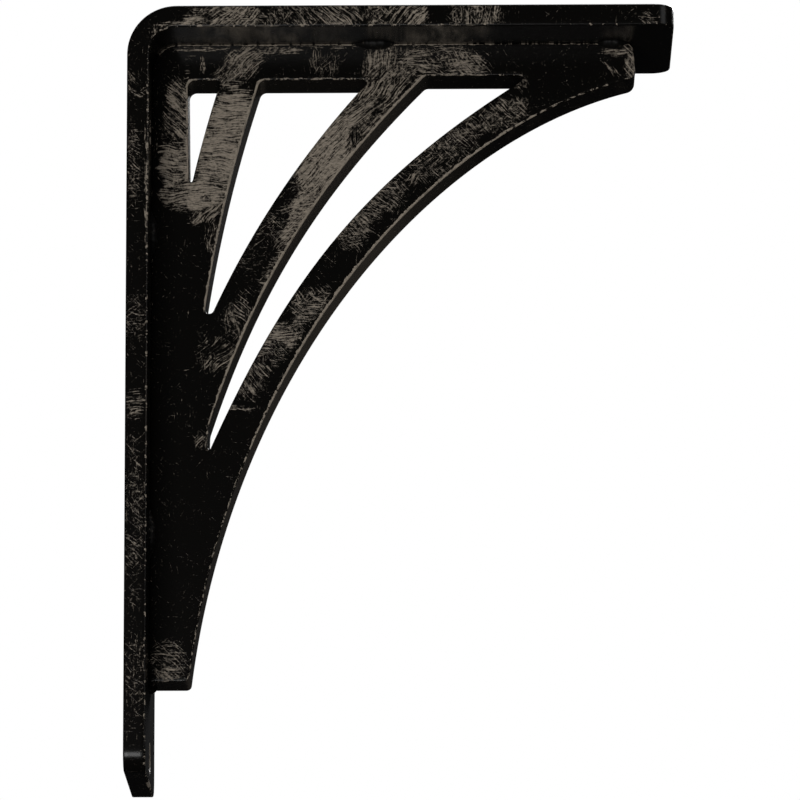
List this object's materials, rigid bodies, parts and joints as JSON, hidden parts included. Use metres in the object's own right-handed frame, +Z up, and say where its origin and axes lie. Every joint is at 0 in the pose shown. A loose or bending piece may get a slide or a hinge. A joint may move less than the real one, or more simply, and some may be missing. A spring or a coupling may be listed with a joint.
{
  "type": "wrought iron shelf bracket",
  "caption": "Wrought iron shelf bracket: a flat bar bent to a right angle, braced by a plate on edge with a hollow-curved outer edge and pierced windows between slanting struts.",
  "frame": {"origin": "centre of the wall face, halfway up the wall leg and at the middle of the bar's width", "axes": "+X away from the wall, +Y across the bar, +Z up; the shelf rests on the +Z side"},
  "size_m": [0.1329, 0.0508, 0.1876],
  "materials": {
    "worn_black_lacquer": "near-black satin lacquer over iron, wire-brushed through to warm grey in hair-like strokes and along its arrises"
  },
  "bodies": {
    "root": {"bent_bar": "worn_black_lacquer", "pierced_plate": "worn_black_lacquer"}
  },
  "joints": []
}
